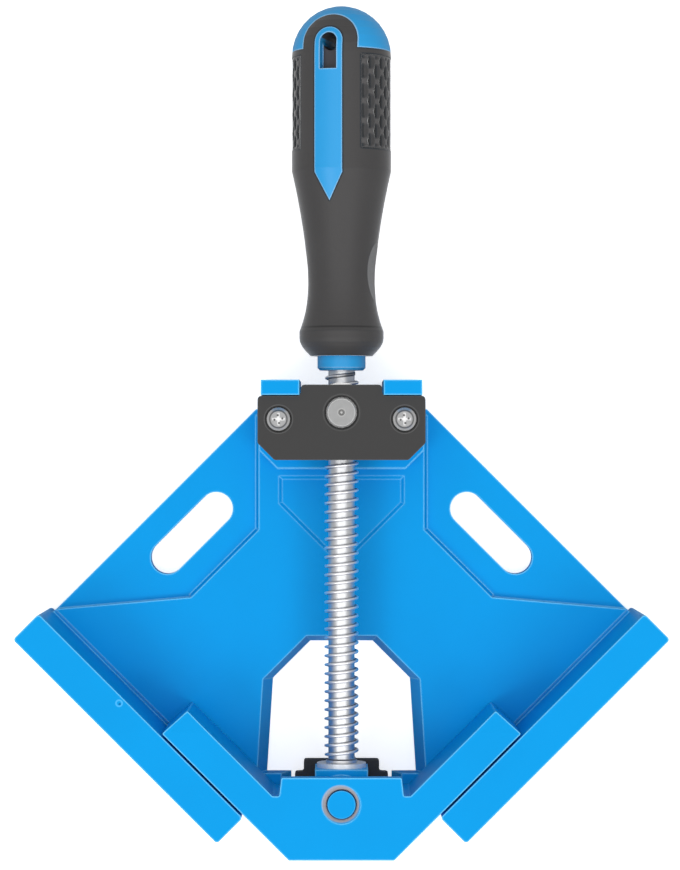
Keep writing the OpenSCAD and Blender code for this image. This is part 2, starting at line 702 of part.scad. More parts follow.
// Floating jaw, cored from below to take the swivel head
module moving_jaw() color(blue) difference() {
    translate([0, 0, foot_z]) linear_extrude(top_z - foot_z) jaw_outline();
    translate([-cavity_half, -cavity_front, foot_z - cut])
        cube([2 * cavity_half, cavity_front, cavity_z - foot_z + cut]);
    translate([-notch_root, -block_rear - rear_open, foot_z - cut])
        cube([2 * notch_root, rear_open + cut, cavity_z - foot_z + cut]);
    translate([0, 0, foot_z - cut]) linear_extrude(keeper_top_z - foot_z + cut) keeper_outline(0.3);
    translate([0, -pivot_reach, cavity_z - cut])
        cylinder(h = jaw_skin + 2 * cut, d = trunnion_d + 2 * run_clear);
    translate([0, -pivot_reach, top_z - 1.4]) cylinder(h = 1.41, d1 = trunnion_d, d2 = trunnion_d + 2.9);
    translate([-arm_reach, closed_gap * r2 + arm_reach / r2 - nut_to_corner, top_z])
        rotate([-tip_slope, 0, 0]) cube([2 * arm_reach, arm_reach, jaw_skin]);
    both_sides() {
        at_right_jaw() translate([arm_reach - 31, closed_gap + 3.7, foot_z - cut])
            cube([27, arm_thick - 7.4, cavity_z - foot_z + cut]);
        translate([keeper_screw_x, keeper_screw_y, foot_z])
            cylinder(h = keeper_thick + keeper_screw_bite + cut, d = keeper_screw_d + 2 * run_clear);
    }
}

module jaw_keeper() color(black) difference() {
    translate([0, 0, keeper_z]) linear_extrude(keeper_thick) keeper_outline(0);
    translate([0, -pivot_reach, keeper_z - cut])
        cylinder(h = keeper_thick + 2 * cut, d = trunnion_d + 2 * run_clear);
    both_sides() translate([keeper_screw_x, keeper_screw_y, keeper_z - cut]) {
        cylinder(h = keeper_thick + 2 * cut, d = keeper_screw_d + 2 * run_clear);
        translate([0, 0, cut - 0.01])
            cylinder(h = keeper_head_h + seat_clear, d1 = keeper_head_d + 2 * seat_clear,
                     d2 = keeper_screw_d);
    }
}

// Countersunk screw that holds the keeper from below
module keeper_screw() translate([keeper_screw_x, keeper_screw_y, keeper_z]) difference() {
    union() {
        cylinder(h = keeper_thick + keeper_screw_bite, d = keeper_screw_d);
        cylinder(h = keeper_head_h, d1 = keeper_head_d, d2 = keeper_screw_d - seat_clear);
    }
    for (a = [0, 90]) rotate(a) cube([keeper_screw_d * 0.9, 0.7, 1.8], center = true);
}

module keeper_screw_right() color(zinc) keeper_screw();

module keeper_screw_left() color(zinc) mirror([1, 0, 0]) keeper_screw();

base_casting();
nut_cap();
cap_screw_left();
cap_screw_right();
swivel_nut();
swivel_head();
thrust_washer();
spindle();
retaining_clip();
handle_core();
handle_grip();
moving_jaw();
jaw_keeper();
keeper_screw_left();
keeper_screw_right();
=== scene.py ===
"""Corner clamp with a hand screw, seen from straight above on a pale bench."""

import json
import math

import bmesh
import bpy
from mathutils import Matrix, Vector


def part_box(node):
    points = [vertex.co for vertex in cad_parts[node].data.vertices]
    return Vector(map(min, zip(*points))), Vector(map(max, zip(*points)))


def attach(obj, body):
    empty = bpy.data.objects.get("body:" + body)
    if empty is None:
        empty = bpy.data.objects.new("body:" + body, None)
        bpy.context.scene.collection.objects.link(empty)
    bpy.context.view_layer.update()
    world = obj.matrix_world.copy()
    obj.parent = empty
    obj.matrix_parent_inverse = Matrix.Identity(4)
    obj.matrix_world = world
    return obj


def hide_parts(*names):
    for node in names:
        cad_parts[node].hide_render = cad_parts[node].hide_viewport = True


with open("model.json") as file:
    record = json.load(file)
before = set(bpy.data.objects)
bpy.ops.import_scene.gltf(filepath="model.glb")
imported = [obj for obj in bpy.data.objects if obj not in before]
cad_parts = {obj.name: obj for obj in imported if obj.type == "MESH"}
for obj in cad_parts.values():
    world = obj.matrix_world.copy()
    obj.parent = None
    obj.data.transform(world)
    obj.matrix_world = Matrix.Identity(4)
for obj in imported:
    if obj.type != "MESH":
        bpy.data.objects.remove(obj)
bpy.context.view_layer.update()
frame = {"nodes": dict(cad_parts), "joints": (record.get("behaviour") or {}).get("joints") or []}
node = frame["nodes"]

# Bench and light. The clamp lies flat on a bench in a bright room, under a wide soft box and two weaker ones
# in front. The camera, a metre above the jaws and a little in front of the nut, sees the bench plain white.
# The clamp itself gets the light that a grey bench throws back.
picture_height_px, focal_length_px = 870, 3030
sensor_size = 36.0
camera = bpy.data.objects.new("camera", bpy.data.cameras.new("camera"))
bpy.context.scene.collection.objects.link(camera)
camera.location = (-0.0005, -0.00743, 1.041)
camera.data.sensor_width = sensor_size
camera.data.lens = sensor_size * focal_length_px / picture_height_px
camera.data.clip_start = 0.05
camera.data.clip_end = 30.0
bpy.context.scene.camera = camera
bpy.context.scene.view_settings.view_transform = "Standard"

bench_radius, bench_drop = 4.0, 0.0004
bench_mesh = bpy.data.meshes.new("bench_top")
bench = bmesh.new()
bmesh.ops.create_circle(bench, cap_ends=True, segments=96, radius=bench_radius)
bench.to_mesh(bench_mesh)
bench.free()
bench_top = bpy.data.objects.new("bench_top", bench_mesh)
bench_top.location.z = -bench_drop
bpy.context.scene.collection.objects.link(bench_top)
bench_white = bpy.data.materials.new("bench_white")
bench_white.use_nodes = True
bench_tree = bench_white.node_tree
bench_shader = bench_tree.nodes["Principled BSDF"]
bench_shader.inputs["Base Color"].default_value = (0.93, 0.93, 0.93, 1)
bench_shader.inputs["Roughness"].default_value = 0.9
bench_shader.inputs["Emission Color"].default_value = (1.0, 1.0, 1.0, 1)
bench_shader.inputs["Emission Strength"].default_value = 0.6
bench_bounce = bench_tree.nodes.new("ShaderNodeBsdfDiffuse")
bench_bounce.inputs["Color"].default_value = (0.50, 0.50, 0.50, 1)
bench_seen = bench_tree.nodes.new("ShaderNodeLightPath")
bench_pick = bench_tree.nodes.new("ShaderNodeMixShader")
bench_tree.links.new(bench_seen.outputs["Is Camera Ray"], bench_pick.inputs[0])
bench_tree.links.new(bench_bounce.outputs["BSDF"], bench_pick.inputs[1])
bench_tree.links.new(bench_shader.outputs["BSDF"], bench_pick.inputs[2])
bench_tree.links.new(bench_pick.outputs["Shader"], bench_tree.nodes["Material Output"].inputs["Surface"])
bench_top.data.materials.append(bench_white)

room = bpy.data.worlds.new("bright_room")
room.use_nodes = True
room.node_tree.nodes["Background"].inputs["Color"].default_value = (1.0, 1.0, 1.0, 1)
room.node_tree.nodes["Background"].inputs["Strength"].default_value = 0.55
bpy.context.scene.world = room
light_aim = Vector((0, -0.02, 0.02))
for name, place, size, power in (("soft_box_above", (0.0, -0.12, 1.9), 2.4, 17),
                                 ("soft_box_left", (-0.85, -0.75, 1.5), 0.7, 6),
                                 ("soft_box_right", (0.85, -0.75, 1.5), 0.7, 5)):
    lamp = bpy.data.objects.new(name, bpy.data.lights.new(name, "AREA"))
    lamp.data.size = size
    lamp.data.energy = power
    lamp.location = place
    lamp.rotation_euler = (light_aim - Vector(place)).to_track_quat("-Z", "Y").to_euler()
    bpy.context.scene.collection.objects.link(lamp)

# Base casting. Bed, wings, nut posts and both fixed jaws are one die casting in light alloy, with small round
# edges. It is stove enamelled in bright blue, and rests flat on the bench.
# An ejector pin has left a small round mark on it, drawn with a painted highlight on its rim and painted
# shade in its pit.


def finish_with(piece, material):
    """Puts one finish on every face of a piece."""
    piece.data.materials.clear()
    piece.data.materials.append(material)


def effect(name, ins, outs):
    """A new shader node group with its named sockets, and its in and out nodes."""
    group = bpy.data.node_groups.new(name, "ShaderNodeTree")
    for socket, kind, value in ins:
        made = group.interface.new_socket(socket, in_out="INPUT", socket_type=kind)
        made.default_value = value
    for socket, kind in outs:
        group.interface.new_socket(socket, in_out="OUTPUT", socket_type=kind)
    return group, group.nodes.new("NodeGroupInput"), group.nodes.new("NodeGroupOutput")


# Uneven skin: slow cloudiness of a sprayed or moulded surface, and the fine height of its grain.
uneven_skin, uneven_in, uneven_out = effect(
    "uneven_skin",
    [("Cloud Scale", "NodeSocketFloat", 60.0), ("Grain Scale", "NodeSocketFloat", 900.0)],
    [("Cloud", "NodeSocketFloat"), ("Grain", "NodeSocketFloat")])
uneven_place = uneven_skin.nodes.new("ShaderNodeTexCoord")
for scale, detail, output in (("Cloud Scale", 3.0, "Cloud"), ("Grain Scale", 2.0, "Grain")):
    noise = uneven_skin.nodes.new("ShaderNodeTexNoise")
    noise.inputs["Detail"].default_value = detail
    uneven_skin.links.new(uneven_place.outputs["Object"], noise.inputs["Vector"])
    uneven_skin.links.new(uneven_in.outputs[scale], noise.inputs["Scale"])
    uneven_skin.links.new(noise.outputs["Fac"], uneven_out.inputs[output])

# Lit round edges: the small round of a cast or moulded edge, and a mask of it, along which a second colour is
# laid: a painted highlight where that colour is lighter, painted shade where it is darker.
lit_round_edges, lit_round_in, lit_round_out = effect(
    "lit_round_edges",
    [("Reach", "NodeSocketFloat", 0.0006), ("Strength", "NodeSocketFloat", 1.0)],
    [("Mask", "NodeSocketFloat"), ("Round", "NodeSocketVector")])
near_edge, rounded = [lit_round_edges.nodes.new("ShaderNodeBevel") for _ in range(2)]
near_edge.samples = rounded.samples = 6
round_share = 0.4
slighter = lit_round_edges.nodes.new("ShaderNodeMath")
slighter.operation = "MULTIPLY"
slighter.inputs[1].default_value = round_share
facing = lit_round_edges.nodes.new("ShaderNodeNewGeometry")
agree = lit_round_edges.nodes.new("ShaderNodeVectorMath")
agree.operation = "DOT_PRODUCT"
flat_from, edge_from = 0.995, 0.93
fall = lit_round_edges.nodes.new("ShaderNodeMapRange")
fall.inputs["From Min"].default_value = flat_from
fall.inputs["From Max"].default_value = edge_from
strong = lit_round_edges.nodes.new("ShaderNodeMath")
strong.operation = "MULTIPLY"
lit_round_edges.links.new(lit_round_in.outputs["Reach"], near_edge.inputs["Radius"])
lit_round_edges.links.new(lit_round_in.outputs["Reach"], slighter.inputs[0])
lit_round_edges.links.new(slighter.outputs["Value"], rounded.inputs["Radius"])
lit_round_edges.links.new(near_edge.outputs["Normal"], agree.inputs[0])
lit_round_edges.links.new(facing.outputs["True Normal"], agree.inputs[1])
lit_round_edges.links.new(agree.outputs["Value"], fall.inputs["Value"])
lit_round_edges.links.new(fall.outputs["Result"], strong.inputs[0])
lit_round_edges.links.new(lit_round_in.outputs["Strength"], strong.inputs[1])
lit_round_edges.links.new(strong.outputs["Value"], lit_round_out.inputs["Mask"])
lit_round_edges.links.new(rounded.outputs["Normal"], lit_round_out.inputs["Round"])


def coated(name, base, cloud, edge_lighting_colour, rough, cloud_scale, grain_scale, grain_depth, edge_lighting_reach, specular,
           edge_lighting_share=0.8):
    """A painted or moulded finish: a cloudy base colour, a second colour along its edges as painted highlight
    (lighter) or painted shade (darker), and a grain.
    """
    smoother, duller = 0.06, 0.08
    made = bpy.data.materials.new(name)
    made.use_nodes = True
    tree = made.node_tree
    shader = tree.nodes["Principled BSDF"]
    shader.inputs["Specular IOR Level"].default_value = specular
    skin = tree.nodes.new("ShaderNodeGroup")
    skin.node_tree = uneven_skin
    skin.inputs["Cloud Scale"].default_value = cloud_scale
    skin.inputs["Grain Scale"].default_value = grain_scale
    edges = tree.nodes.new("ShaderNodeGroup")
    edges.node_tree = lit_round_edges
    edges.inputs["Reach"].default_value = edge_lighting_reach
    edges.inputs["Strength"].default_value = edge_lighting_share
    shade = tree.nodes.new("ShaderNodeMix")
    shade.data_type = "RGBA"
    shade.inputs["A"].default_value = (*base, 1)
    shade.inputs["B"].default_value = (*cloud, 1)
    # Painted edge light: the edge colour stands in for the light that the small round edges catch, or for the
    # shade in the gaps beside them.
    edge_lit = tree.nodes.new("ShaderNodeMix")
    edge_lit.data_type = "RGBA"
    edge_lit.inputs["B"].default_value = (*edge_lighting_colour, 1)
    gloss = tree.nodes.new("ShaderNodeMapRange")
    gloss.inputs["To Min"].default_value = rough - smoother
    gloss.inputs["To Max"].default_value = rough + duller
    bump = tree.nodes.new("ShaderNodeBump")
    bump.inputs["Strength"].default_value = 1.0
    bump.inputs["Distance"].default_value = grain_depth
    tree.links.new(skin.outputs["Cloud"], shade.inputs["Factor"])
    tree.links.new(shade.outputs["Result"], edge_lit.inputs["A"])
    tree.links.new(edges.outputs["Mask"], edge_lit.inputs["Factor"])
    tree.links.new(edge_lit.outputs["Result"], shader.inputs["Base Color"])
    tree.links.new(skin.outputs["Cloud"], gloss.inputs["Value"])
    tree.links.new(gloss.outputs["Result"], shader.inputs["Roughness"])
    tree.links.new(skin.outputs["Grain"], bump.inputs["Height"])
    tree.links.new(edges.outputs["Round"], bump.inputs["Normal"])
    tree.links.new(bump.outputs["Normal"], shader.inputs["Normal"])
    return made


# Ring: a mask that grows from nothing to full between two distances from a centre, along chosen axes.
ring, ring_in, ring_out = effect(
    "ring",
    [("Centre", "NodeSocketVector", (0, 0, 0)), ("Across", "NodeSocketVector", (1, 1, 0)),
     ("Inner", "NodeSocketFloat", 0.004), ("Outer", "NodeSocketFloat", 0.005)],
    [("Mask", "NodeSocketFloat")])
ring_place = ring.nodes.new("ShaderNodeTexCoord")
ring_from, ring_flat, ring_far = [ring.nodes.new("ShaderNodeVectorMath") for _ in range(3)]
ring_from.operation, ring_flat.operation, ring_far.operation = "SUBTRACT", "MULTIPLY", "LENGTH"
ring_step = ring.nodes.new("ShaderNodeMapRange")
ring_step.interpolation_type = "SMOOTHSTEP"
ring.links.new(ring_place.outputs["Object"], ring_from.inputs[0])
ring.links.new(ring_in.outputs["Centre"], ring_from.inputs[1])
ring.links.new(ring_from.outputs["Vector"], ring_flat.inputs[0])
ring.links.new(ring_in.outputs["Across"], ring_flat.inputs[1])
ring.links.new(ring_flat.outputs["Vector"], ring_far.inputs[0])
ring.links.new(ring_far.outputs["Value"], ring_step.inputs["Value"])
ring.links.new(ring_in.outputs["Inner"], ring_step.inputs["From Min"])
ring.links.new(ring_in.outputs["Outer"], ring_step.inputs["From Max"])
ring.links.new(ring_step.outputs["Result"], ring_out.inputs["Mask"])


def limit(material, centre, across, start, full):
    """One ring mask in a material, full on that side of its start where the second distance lies."""
    mask = material.node_tree.nodes.new("ShaderNodeGroup")
    mask.node_tree = ring
    mask.inputs["Centre"].default_value = centre
    mask.inputs["Across"].default_value = across
    mask.inputs["Inner"].default_value = start
    mask.inputs["Outer"].default_value = full
    return mask.outputs["Mask"]


def tint(material, colour, mask, share=1.0, also=None):
    """Lays a second colour on a finish by a mask, times a share or, where one is given, a second mask."""
    tree = material.node_tree
    shader = tree.nodes["Principled BSDF"]
    under = shader.inputs["Base Color"].links[0].from_socket
    amount = tree.nodes.new("ShaderNodeMath")
    amount.operation = "MULTIPLY"
    amount.inputs[1].default_value = share
    lay = tree.nodes.new("ShaderNodeMix")
    lay.data_type = "RGBA"
    lay.inputs["B"].default_value = (*colour, 1)
    tree.links.new(mask, amount.inputs[0])
    if also is not None:
        tree.links.new(also, amount.inputs[1])
    tree.links.new(amount.outputs["Value"], lay.inputs["Factor"])
    tree.links.new(under, lay.inputs["A"])
    tree.links.new(lay.outputs["Result"], shader.inputs["Base Color"])


def tone_and_light(material, centre, across, start, full, colour, share=1.0):
    """Lays a second colour on a finish by one ring mask; used both for a part's own tones and wear and for
    painted highlights and painted shade.
    """
    tint(material, colour, limit(material, centre, across, start, full), share)


def band(material, centre, across, inside, outside, colour):
    """Lays a second colour on a finish between two ring masks, each given as its start and full distance."""
    inner_edge, outer_edge = [limit(material, centre, across, *edge) for edge in (inside, outside)]
    tint(material, colour, inner_edge, also=outer_edge)


round_upright = (1, 1, 0)
# Painted highlight: the light blue along the enamelled castings' edges stands in for the light their small
# round edges catch.
blue_enamel = coated(
    "blue_enamel", base=(0.0, 0.347, 0.823), cloud=(0.0, 0.314, 0.75), edge_lighting_colour=(0.20, 0.66, 1.0), rough=0.32,
    cloud_scale=35, grain_scale=700, grain_depth=0.00001, edge_lighting_reach=0.0009, specular=0.07, edge_lighting_share=0.9)
base_enamel = blue_enamel.copy()
base_enamel.name = "base_enamel"
pin_mark, pin_pit = (-0.0732, -0.0957, 0), (-0.0730, -0.0960, 0)
# Painted highlight ring on the pin mark's rim, and painted shade in its pit.
band(base_enamel, pin_mark, round_upright, (0.0006, 0.0009), (0.0014, 0.0011), colour=(0.07, 0.47, 0.92))
tone_and_light(base_enamel, pin_pit, round_upright, 0.0005, 0.0003, colour=(0.0, 0.12, 0.36), share=0.8)
finish_with(node["base_casting"], base_enamel)

# Nut cap. A flat black cover plate, pressed and powder coated, screwed down over the nut's upper journal.
# Its front corners are cut off, and its three holes have a fine turned rim, drawn with a painted highlight.


def hinge_at(name):
    """The place of one hinge of the frame."""
    return Vector(next(joint["pos_m"] for joint in frame["joints"] if joint["name"] == name))


def middle(name):
    """The middle of a CAD node's box."""
    corner, far_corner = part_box(name)
    return (corner + far_corner) / 2


nut_axis = hinge_at("nut_swing")
nut_hole, screw_hole, rim_fade, rim_width = 0.0057, 0.0045, 0.0001, 0.0004
# Painted highlight: the lighter grey along the powder coat's edges stands in for the light its small round
# edges catch.
black_powder = coated(
    "black_powder", base=(0.034, 0.034, 0.034), cloud=(0.041, 0.040, 0.040), edge_lighting_colour=(0.10, 0.10, 0.10),
    rough=0.5, cloud_scale=90, grain_scale=2600, grain_depth=0.00003, edge_lighting_reach=0.0006, specular=0.28)
# Painted highlight: a lighter ring on the chamfered rim round each of the cap's three holes.
for place, hole in ((nut_axis, nut_hole), (middle("cap_screw_left"), screw_hole),
                    (middle("cap_screw_right"), screw_hole)):
    band(black_powder, place, round_upright, (hole, hole + rim_fade),
         (hole + rim_width, hole + rim_width - rim_fade), colour=(0.085, 0.085, 0.085))
finish_with(node["nut_cap"], black_powder)

# Cap screws. Two zinc plated pan head screws with a cross recess, driven down through the cap into the posts.
# The plating has a grey film on the head; a painted highlight brightens the rim and the walls of the cross,
# and painted shade darkens the recess corners.
plated_film, film_in, film_out = effect(
    "plated_film",
    [("Scale", "NodeSocketFloat", 400.0), ("Smooth", "NodeSocketFloat", 0.2),
     ("Dull", "NodeSocketFloat", 0.45)],
    [("Tint", "NodeSocketColor"), ("Roughness", "NodeSocketFloat"), ("Scratch", "NodeSocketFloat")])
film_place = plated_film.nodes.new("ShaderNodeTexCoord")
film_noise = plated_film.nodes.new("ShaderNodeTexNoise")
film_noise.inputs["Detail"].default_value = 5.0
film_tint = plated_film.nodes.new("ShaderNodeValToRGB")
for stop, position, colour in zip(film_tint.color_ramp.elements, (0.25, 0.75),
                                  ((0.52, 0.53, 0.54, 1), (0.83, 0.84, 0.86, 1))):
    stop.position = position
    stop.color = colour
film_gloss = plated_film.nodes.new("ShaderNodeMapRange")
film_stretch = plated_film.nodes.new("ShaderNodeMapping")
film_stretch.inputs["Scale"].default_value = (1.0, 6.0, 1.0)
film_scratch = plated_film.nodes.new("ShaderNodeTexNoise")
film_scratch.inputs["Detail"].default_value = 4.0
plated_film.links.new(film_place.outputs["Object"], film_noise.inputs["Vector"])
plated_film.links.new(film_in.outputs["Scale"], film_noise.inputs["Scale"])
plated_film.links.new(film_noise.outputs["Fac"], film_tint.inputs["Fac"])
plated_film.links.new(film_tint.outputs["Color"], film_out.inputs["Tint"])
plated_film.links.new(film_noise.outputs["Fac"], film_gloss.inputs["Value"])
plated_film.links.new(film_in.outputs["Smooth"], film_gloss.inputs["To Min"])
plated_film.links.new(film_in.outputs["Dull"], film_gloss.inputs["To Max"])
plated_film.links.new(film_gloss.outputs["Result"], film_out.inputs["Roughness"])
plated_film.links.new(film_place.outputs["Object"], film_stretch.inputs["Vector"])
plated_film.links.new(film_stretch.outputs["Vector"], film_scratch.inputs["Vector"])
plated_film.links.new(film_in.outputs["Scale"], film_scratch.inputs["Scale"])
plated_film.links.new(film_scratch.outputs["Fac"], film_out.inputs["Scratch"])


def plated(name, scale, smooth, dull, depth):
    """A zinc plated steel finish with its own film and scratches."""
    made = bpy.data.materials.new(name)
    made.use_nodes = True
    tree = made.node_tree
    shader = tree.nodes["Principled BSDF"]
    shader.inputs["Metallic"].default_value = 1.0
    film = tree.nodes.new("ShaderNodeGroup")
    film.node_tree = plated_film
    film.inputs["Scale"].default_value = scale
    film.inputs["Smooth"].default_value = smooth
    film.inputs["Dull"].default_value = dull
    bump = tree.nodes.new("ShaderNodeBump")
    bump.inputs["Distance"].default_value = depth
    tree.links.new(film.outputs["Tint"], shader.inputs["Base Color"])
    tree.links.new(film.outputs["Roughness"], shader.inputs["Roughness"])
    tree.links.new(film.outputs["Scratch"], bump.inputs["Height"])
    tree.links.new(bump.outputs["Normal"], shader.inputs["Normal"])
    return made


along_height = (0, 0, 1)
corner_out, corner_aside = 0.0013, 0.0002
screw_zinc = plated("screw_zinc", scale=900, smooth=0.22, dull=0.45, depth=0.00003)
for name in ("cap_screw_left", "cap_screw_right"):
    screw_axis = middle(name)
    screw_top = (0, 0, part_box(name)[1].z)
    cap_zinc = screw_zinc.copy()
    cap_zinc.name = name + "_zinc"
    tone_and_light(cap_zinc, screw_axis, round_upright, 0.0, 0.0001, colour=(0.24, 0.24, 0.24), share=0.85)
    # Painted highlight on the round rim of the head.
    tone_and_light(cap_zinc, screw_axis, round_upright, 0.0030, 0.0032, colour=(0.80, 0.80, 0.80), share=0.95)
    # Painted highlight on the walls of the cross recess.
    tint(cap_zinc, (0.70, 0.70, 0.70), limit(cap_zinc, screw_axis, round_upright, 0.0026, 0.0022),
         also=limit(cap_zinc, screw_top, along_height, 0.00015, 0.0007))
    # Painted shade in the four corners of the cross recess.
    for dx, dy in ((corner_out, corner_aside), (-corner_out, -corner_aside),
                   (-corner_aside, corner_out), (corner_aside, -corner_out)):
        tone_and_light(cap_zinc, screw_axis + Vector((dx, dy, 0)), round_upright, 0.0005, 0.0002,
              colour=(0.03, 0.03, 0.03), share=0.9)
    finish_with(node[name], cap_zinc)

# Swivel nut. A turned steel barrel that stands between the posts and carries the thread of the spindle.
# Its upper journal shows in the cap, faced off on a lathe, with a centre dimple drawn as a lighter disc and a
# painted highlight on its rim.
nut_steel = plated("nut_steel", scale=500, smooth=0.3, dull=0.5, depth=0.00002)
tone_and_light(nut_steel, nut_axis, round_upright, 0.0, 0.0001, colour=(0.22, 0.22, 0.217), share=0.85)
tone_and_light(nut_steel, nut_axis, round_upright, 0.0017, 0.0009, colour=(0.42, 0.42, 0.415), share=0.8)
# Painted highlight on the rim of the journal.
tone_and_light(nut_steel, nut_axis, round_upright, 0.0043, 0.0045, colour=(0.85, 0.85, 0.85), share=0.95)
finish_with(node["swivel_nut"], nut_steel)

# Swivel head and thrust washer. The head is a small blue casting on two trunnions in the moving jaw.
# The washer is zinc plated steel, and takes the push of the spindle's shoulder against the head.
round_spindle = (1, 0, 1)
jaw_axis = hinge_at("jaw_pivot")
head_enamel = blue_enamel.copy()
head_enamel.name = "head_enamel"
# Painted shade: a dark ring on the head round the trunnion, where the gap to the jaw's pivot hole lies in
# shadow.
band(head_enamel, jaw_axis, round_upright, (0.00445, 0.0047), (0.0060, 0.0056), colour=(0.0, 0.05, 0.16))
finish_with(node["swivel_head"], head_enamel)
washer_zinc = screw_zinc.copy()
washer_zinc.name = "washer_zinc"
washer_zinc.node_tree.nodes["Principled BSDF"].inputs["Metallic"].default_value = 0.4
tone_and_light(washer_zinc, jaw_axis, round_spindle, 0.0, 0.0001, colour=(0.86, 0.87, 0.88), share=0.8)
finish_with(node["thrust_washer"], washer_zinc)

# Spindle. A zinc plated steel rod with a rolled right-hand thread of coarse pitch and a turned-down nose.
# It is screwed through the swivel nut, and its tang is moulded into the handle.
# A spring clip in the groove of the nose keeps it in the swivel head.
axis_height = jaw_axis.z
nose_tip, tang_end = [corner.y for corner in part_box("spindle")]
tip_radius, tip_bevel, nose_radius = 0.0033, 0.0007, 0.004
groove_from, groove_to, groove_radius = -0.1375, -0.1362, 0.0031
shoulder_from, shoulder_to, shoulder_radius = -0.11695, -0.1161, 0.0052
wall_slope, shoulder_slope = 0.00005, 0.0005
rod_end, tang_radius = 0.0150, 0.0046
thread_root, thread_pitch, thread_run_out = 0.0044, 0.003, 0.8
thread_from, thread_to = -0.1166, 0.0136
turn_steps = 48


def strip(mesh, line, next_line):
    """Adds the faces between two lines of as many points."""
    for i in range(len(line) - 1):
        mesh.faces.new((line[i], line[i + 1], next_line[i + 1], next_line[i]))


def rod(mesh, stations):
    """Adds a closed turned rod along the spindle axis from (place along Y, radius) stations."""
    turns = [2 * math.pi * k / turn_steps for k in range(turn_steps)]
    rings = [[mesh.verts.new((r * math.cos(turn), y, axis_height + r * math.sin(turn))) for turn in turns]
             for y, r in stations]
    for line, next_line in zip(rings, rings[1:]):
        strip(mesh, line + line[:1], next_line + next_line[:1])
    mesh.faces.new(rings[0][::-1])
    mesh.faces.new(rings[-1])


thread = bmesh.new()
rod(thread, [(nose_tip, tip_radius), (nose_tip + tip_bevel, nose_radius),
             (groove_from, nose_radius), (groove_from + wall_slope, groove_radius),
             (groove_to - wall_slope, groove_radius), (groove_to, nose_radius),
             (shoulder_from, nose_radius), (shoulder_from + wall_slope, shoulder_radius),
             (shoulder_to, shoulder_radius), (shoulder_to + shoulder_slope, thread_root),
             (rod_end, thread_root), (rod_end, tang_radius), (tang_end, tang_radius)])
ridge_half = [(0.00076, -0.0003), (0.00066, 0.0), (0.00048, 0.00085), (0.00038, 0.00120), (0.00020, 0.00132)]
ridge = [(-along, out) for along, out in ridge_half] + ridge_half[::-1]
count = int((thread_to - thread_from) / thread_pitch * turn_steps)
rows = []
for i in range(count + 1):
    angle = 2 * math.pi * i / turn_steps
    grow = min(1.0, i / turn_steps / thread_run_out, (count - i) / turn_steps / thread_run_out)
    row = []
    for along, out in ridge:
        r = thread_root + (out * grow if out > 0 else out)
        y = thread_from + thread_pitch * i / turn_steps + along
        row.append(thread.verts.new((r * math.sin(angle), y, axis_height + r * math.cos(angle))))
    rows.append(row)
for row, next_row in zip(rows, rows[1:]):
    for k in range(len(ridge)):
        n = (k + 1) % len(ridge)
        thread.faces.new((row[k], next_row[k], next_row[n], row[n]))
thread.faces.new(rows[0])
thread.faces.new(rows[-1][::-1])


def meshed(name, shape, crease):
    """Makes an object of closed skins, smooth but for edges sharper than the crease in degrees."""
    bmesh.ops.recalc_face_normals(shape, faces=shape.faces)
    mesh = bpy.data.meshes.new(name)
    shape.to_mesh(mesh)
    shape.free()
    mesh.polygons.foreach_set("use_smooth", [True] * len(mesh.polygons))
    mesh.set_sharp_from_angle(angle=math.radians(crease))
    made = bpy.data.objects.new(name, mesh)
    bpy.context.scene.collection.objects.link(made)
    return made


threaded_spindle = meshed("threaded_spindle", thread, crease=38)
spindle_zinc = plated("spindle_zinc", scale=350, smooth=0.34, dull=0.5, depth=0.00003)
tone_and_light(spindle_zinc, jaw_axis, round_spindle, 0.0, 0.0001, colour=(0.70, 0.71, 0.73), share=0.6)
# Painted shade on the thread's flanks and a painted highlight on its crests.
tone_and_light(spindle_zinc, jaw_axis, round_spindle, 0.00445, 0.0047, colour=(0.16, 0.16, 0.17), share=0.8)
tone_and_light(spindle_zinc, jaw_axis, round_spindle, 0.0049, 0.0053, colour=(0.90, 0.90, 0.92), share=0.95)
finish_with(threaded_spindle, spindle_zinc)
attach(threaded_spindle, "screw")
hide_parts("spindle")
finish_with(node["retaining_clip"], screw_zinc)

# Handle core. Hard blue plastic moulded on the tang, with the ferrule in front, the stripe and the domed end.
# A hanging hole runs through the end, with a square hollow beside it that is dark inside.
handle_turn = math.radians(16)
hollow_along, hollow_aside, hollow_fade = 0.11953, 0.0003, 0.0002
# Painted highlight: the pale blue along the plastic's edges stands in for the light its round edges catch, as
# on the stripe.
blue_plastic = coated(
    "blue_plastic", base=(0.015, 0.330, 0.725), cloud=(0.021, 0.350, 0.755), edge_lighting_colour=(0.34, 0.62, 0.88),
    rough=0.36, cloud_scale=50, grain_scale=1800, grain_depth=0.000008, edge_lighting_reach=0.0008, specular=0.36)
hollow_tree = blue_plastic.node_tree
hollow_place = hollow_tree.nodes.new("ShaderNodeTexCoord")
hollow_frame = hollow_tree.nodes.new("ShaderNodeMapping")
hollow_frame.vector_type = "TEXTURE"
hollow_frame.inputs["Location"].default_value = (
    hollow_aside * math.cos(handle_turn), hollow_along, axis_height + hollow_aside * math.sin(handle_turn))
hollow_frame.inputs["Rotation"].default_value = (0, -handle_turn, 0)
hollow_split = hollow_tree.nodes.new("ShaderNodeSeparateXYZ")
hollow_tree.links.new(hollow_place.outputs["Object"], hollow_frame.inputs["Vector"])
hollow_tree.links.new(hollow_frame.outputs["Vector"], hollow_split.inputs["Vector"])
hollow_mask = None
